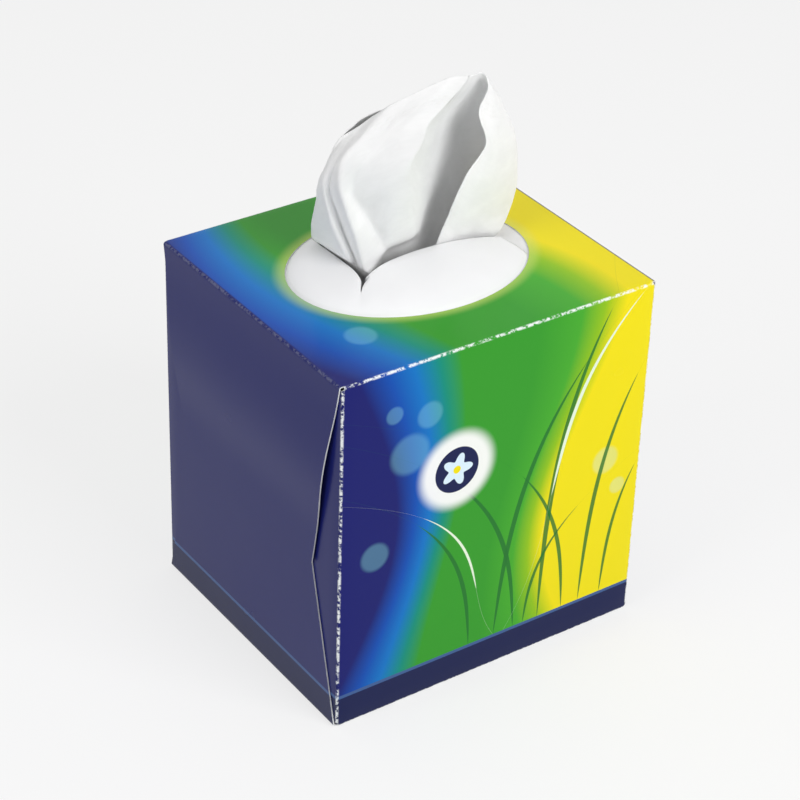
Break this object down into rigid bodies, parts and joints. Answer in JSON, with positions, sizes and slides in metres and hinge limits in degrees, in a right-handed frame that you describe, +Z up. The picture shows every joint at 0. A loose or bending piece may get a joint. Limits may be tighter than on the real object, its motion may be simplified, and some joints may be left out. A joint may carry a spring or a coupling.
{
  "type": "tissue box",
  "caption": "Cube-shaped folded carton of pop-up facial tissues, with an oval opening in its top, a slit film under it and a tissue standing in the slit.",
  "frame": {"origin": "centre of the carton's footprint, on the surface that it stands on", "axes": "+Z up; -Y is the front panel; -X and +X are the two glued end closures; the oval's long axis is along X"},
  "size_m": [0.1226, 0.104, 0.188],
  "materials": {
    "printed_board": "gloss varnish over print, white cut edges",
    "white_film": "satin white plastic film",
    "tissue_paper": "soft matt creped paper"
  },
  "bodies": {
    "root": {"carton": "printed_board", "slit_film": "white_film", "tissue_pack": "tissue_paper", "popup_tissue": "tissue_paper"}
  },
  "joints": []
}
